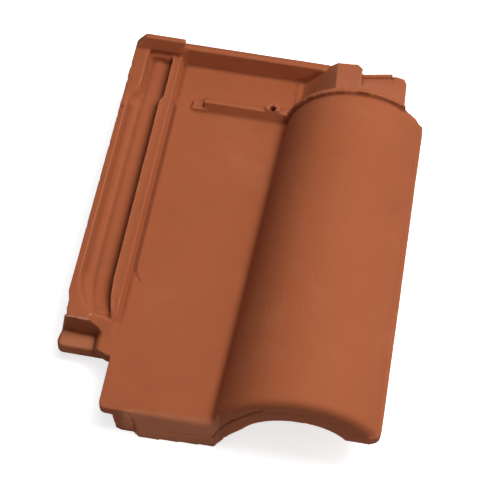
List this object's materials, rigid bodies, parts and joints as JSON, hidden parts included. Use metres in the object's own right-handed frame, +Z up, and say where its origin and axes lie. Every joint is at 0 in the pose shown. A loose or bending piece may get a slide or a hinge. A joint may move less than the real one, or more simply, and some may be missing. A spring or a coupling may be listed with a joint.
{
  "type": "clay roof tile",
  "caption": "Interlocking clay roof tile with a flat pan, a half-round roll, a side lock, a head lock with a nail hole and a turned-down tail.",
  "frame": {"origin": "centre of the tile's bounding box in plan, at the level floor it lies on", "axes": "+X across the tile from the side lock to the roll, +Y up the slope from the tail to the head, +Z up from the pan"},
  "size_m": [0.2794, 0.3816, 0.1028],
  "materials": {
    "terracotta": "matte, unglazed, fired red-brown"
  },
  "bodies": {
    "root": {"roof_tile": "terracotta"}
  },
  "joints": []
}
